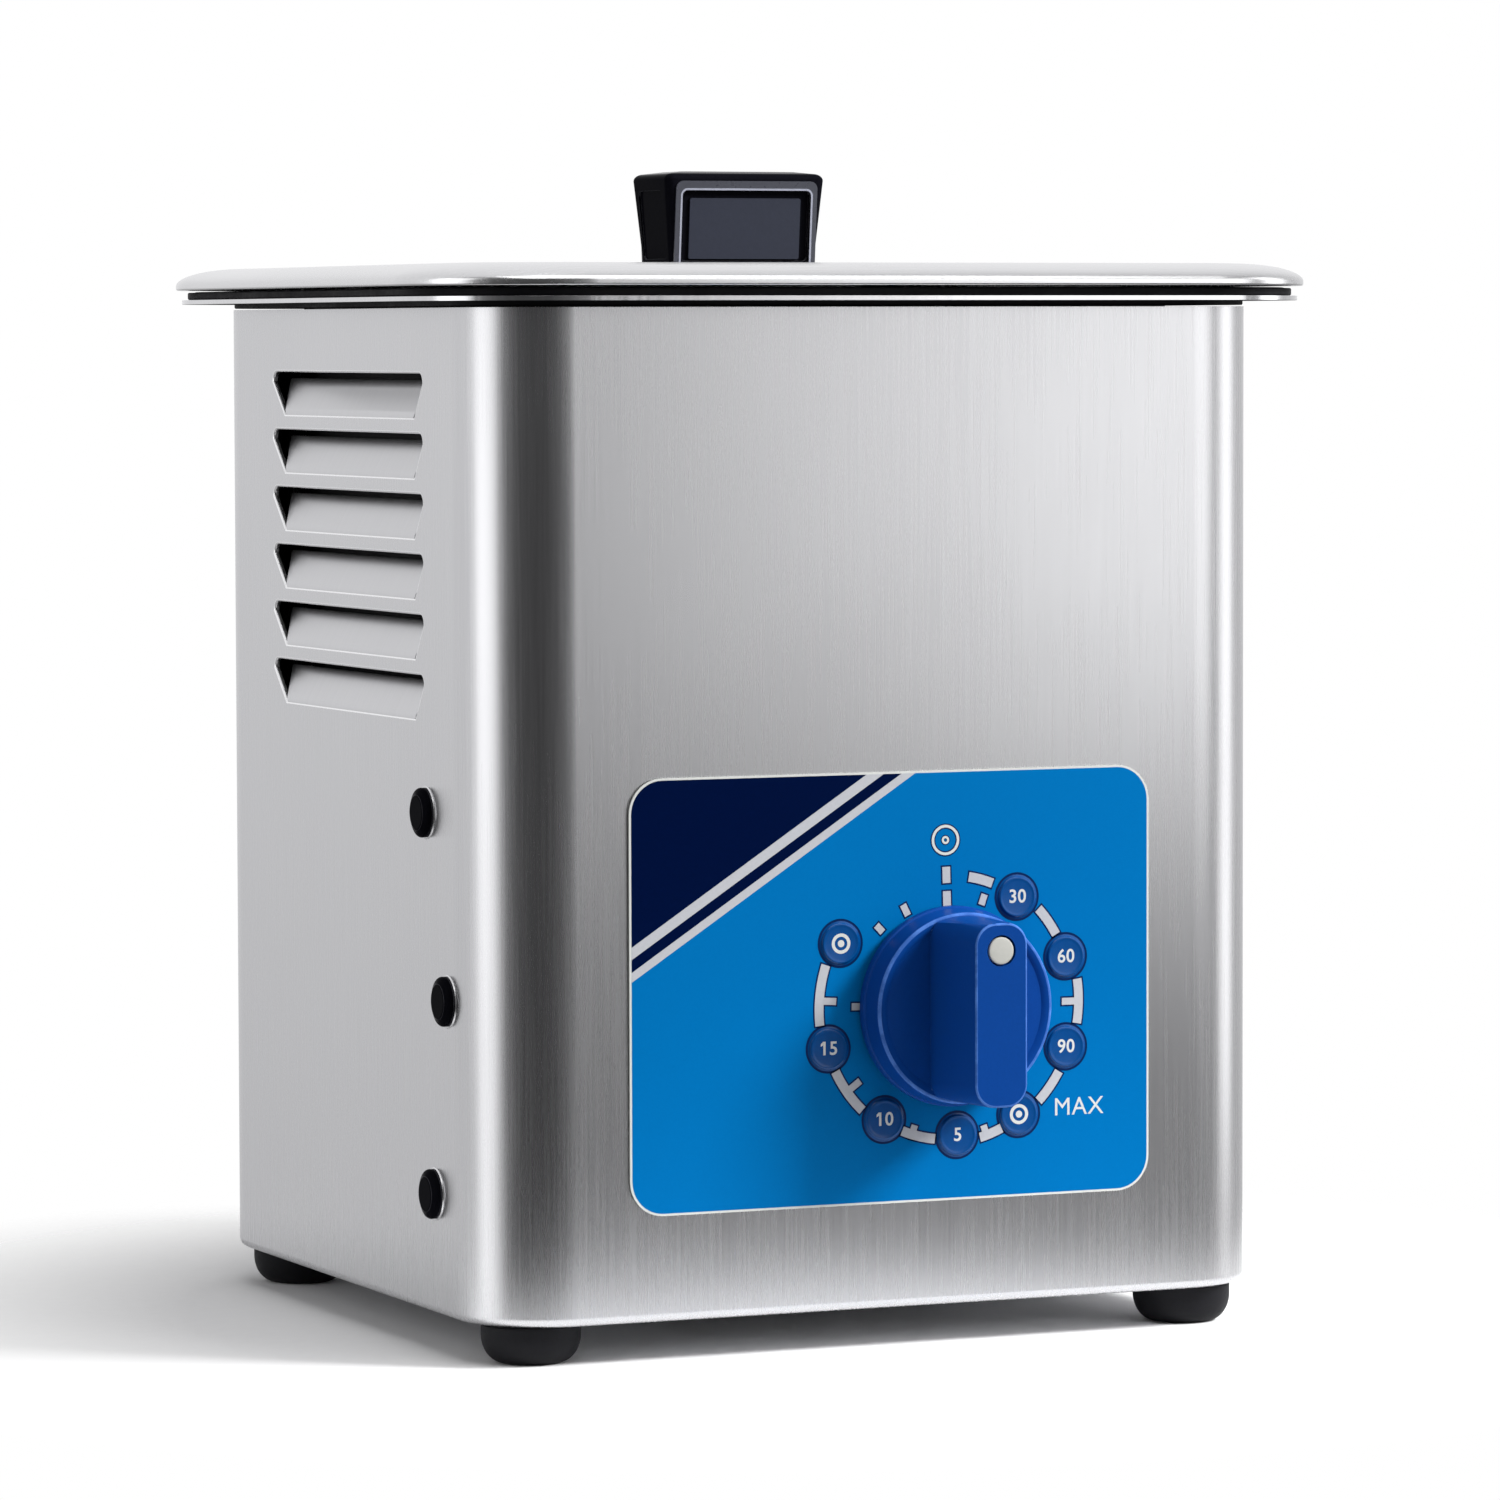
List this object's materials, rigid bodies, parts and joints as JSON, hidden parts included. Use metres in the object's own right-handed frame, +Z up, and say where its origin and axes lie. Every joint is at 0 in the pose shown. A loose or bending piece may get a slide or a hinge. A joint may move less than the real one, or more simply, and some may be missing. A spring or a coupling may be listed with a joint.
{
  "type": "ultrasonic cleaner",
  "caption": "Bench-top ultrasonic cleaner for jewellery: stainless cabinet with side louvres, drawn tank, lift-off lid and a rotary timer knob on a blue panel.",
  "frame": {"origin": "on the ground, under the middle of the object's box", "axes": "+Z up, the control panel faces -Y, +X to the panel's right"},
  "size_m": [0.194, 0.1956, 0.233],
  "materials": {
    "brushed_steel": "vertical brushed stainless steel",
    "polished_steel": "bright polished stainless steel",
    "zinc_plate": "zinc plated steel, satin",
    "black_rubber": "matt black rubber",
    "black_plastic": "glossy black plastic",
    "blue_plastic": "satin deep blue plastic",
    "blue_overlay": "satin printed blue film",
    "cream_plastic": "off-white plastic",
    "aluminium": "machined aluminium",
    "brass": "bright brass",
    "ceramic": "unglazed piezo ceramic, brownish grey",
    "board_green": "green solder mask",
    "lamination_steel": "varnished steel laminations",
    "winding_tape": "yellow winding tape",
    "capacitor_sleeve": "dark blue shrink sleeve",
    "fuse_glass": "clear glass",
    "red_wire": "red insulation",
    "black_wire": "black insulation"
  },
  "bodies": {
    "machine": {"cabinet": "brushed_steel", "base_plate": "zinc_plate", "tank": "polished_steel", "rim_gasket": "black_rubber", "side_plug_upper": "black_plastic", "side_plug_middle": "black_plastic", "side_plug_lower": "black_plastic", "front_panel": "blue_overlay", "timer_case": "zinc_plate", "timer_nut": "zinc_plate", "transducer_horn": "aluminium", "ceramic_upper": "ceramic", "ceramic_lower": "ceramic", "electrode_hot": "brass", "electrode_ground": "brass", "back_mass": "zinc_plate", "transducer_bolt": "zinc_plate", "circuit_board": "board_green", "transformer_core": "lamination_steel", "transformer_coil": "winding_tape", "capacitor_large": "capacitor_sleeve", "capacitor_small": "capacitor_sleeve", "heat_sink": "aluminium", "power_transistor_front": "black_plastic", "power_transistor_back": "black_plastic", "power_inlet": "black_plastic", "inlet_pin_live": "brass", "inlet_pin_earth": "brass", "inlet_pin_neutral": "brass", "inlet_screw_left": "zinc_plate", "inlet_screw_right": "zinc_plate", "transducer_lead_hot": "red_wire", "transducer_lead_ground": "black_wire", "foot_front_left": "black_rubber", "foot_screw_front_left": "zinc_plate", "foot_nut_front_left": "zinc_plate", "board_standoff_front_left": "brass", "foot_front_right": "black_rubber", "foot_screw_front_right": "zinc_plate", "foot_nut_front_right": "zinc_plate", "board_standoff_front_right": "brass", "foot_back_left": "black_rubber", "foot_screw_back_left": "zinc_plate", "foot_nut_back_left": "zinc_plate", "board_standoff_back_left": "brass", "foot_back_right": "black_rubber", "foot_screw_back_right": "zinc_plate", "foot_nut_back_right": "zinc_plate", "board_standoff_back_right": "brass"},
    "lid": {"lid_cover": "polished_steel", "lid_handle": "black_plastic", "lid_screw_left": "zinc_plate", "lid_screw_right": "zinc_plate"},
    "timer": {"timer_knob": "blue_plastic", "knob_dot": "cream_plastic", "timer_shaft": "zinc_plate", "timer_cam": "cream_plastic"},
    "fuse_carrier": {"fuse_drawer": "black_plastic", "fuse_cartridge": "fuse_glass"}
  },
  "joints": [
    {"name": "lid_lift", "type": "slide", "parent": "machine", "child": "lid", "axis": [0, 0, 1], "range_m": [0, 0.12]},
    {"name": "timer_turn", "type": "hinge", "parent": "machine", "child": "timer", "pos_m": [0.0123, -0.07325, 0.0675], "axis": [0, 1, 0], "range_deg": [0, 300]},
    {"name": "fuse_pull", "type": "slide", "parent": "machine", "child": "fuse_carrier", "axis": [0, 1, 0], "range_m": [0, 0.018]}
  ]
}
